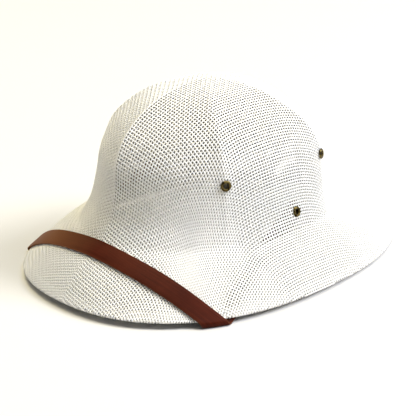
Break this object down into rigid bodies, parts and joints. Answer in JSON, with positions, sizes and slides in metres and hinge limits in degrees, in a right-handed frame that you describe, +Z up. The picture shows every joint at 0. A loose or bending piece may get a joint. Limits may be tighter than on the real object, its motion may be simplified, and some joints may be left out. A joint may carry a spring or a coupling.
{
  "type": "pith helmet",
  "caption": "Pith helmet of stiff woven paper-yarn mesh with a ridged crown, a sloping brim, metal eyelets and a leather chin strap laid over the front of the brim.",
  "frame": {"origin": "centre of the bounding box's base, on the surface the hat rests on", "axes": "+Z up, -Y towards the hat's front, +X towards the wearer's left"},
  "size_m": [0.2584, 0.33, 0.1484],
  "materials": {
    "woven paper yarn, bleached": "open square weave of pale matt yarn, stiffened",
    "split leather, dyed brown": "dyed dark brown, slightly glossy, with cut edges",
    "antiqued brass": "darkened, worn bright on the rolled edge"
  },
  "bodies": {
    "root": {"crown_and_brim": "woven paper yarn, bleached", "chin_strap": "split leather, dyed brown", "vent_eyelet_left_front": "antiqued brass", "vent_eyelet_left_back": "antiqued brass", "vent_eyelet_right_front": "antiqued brass", "vent_eyelet_right_back": "antiqued brass", "strap_eyelet_left": "antiqued brass", "strap_eyelet_right": "antiqued brass"}
  },
  "joints": []
}
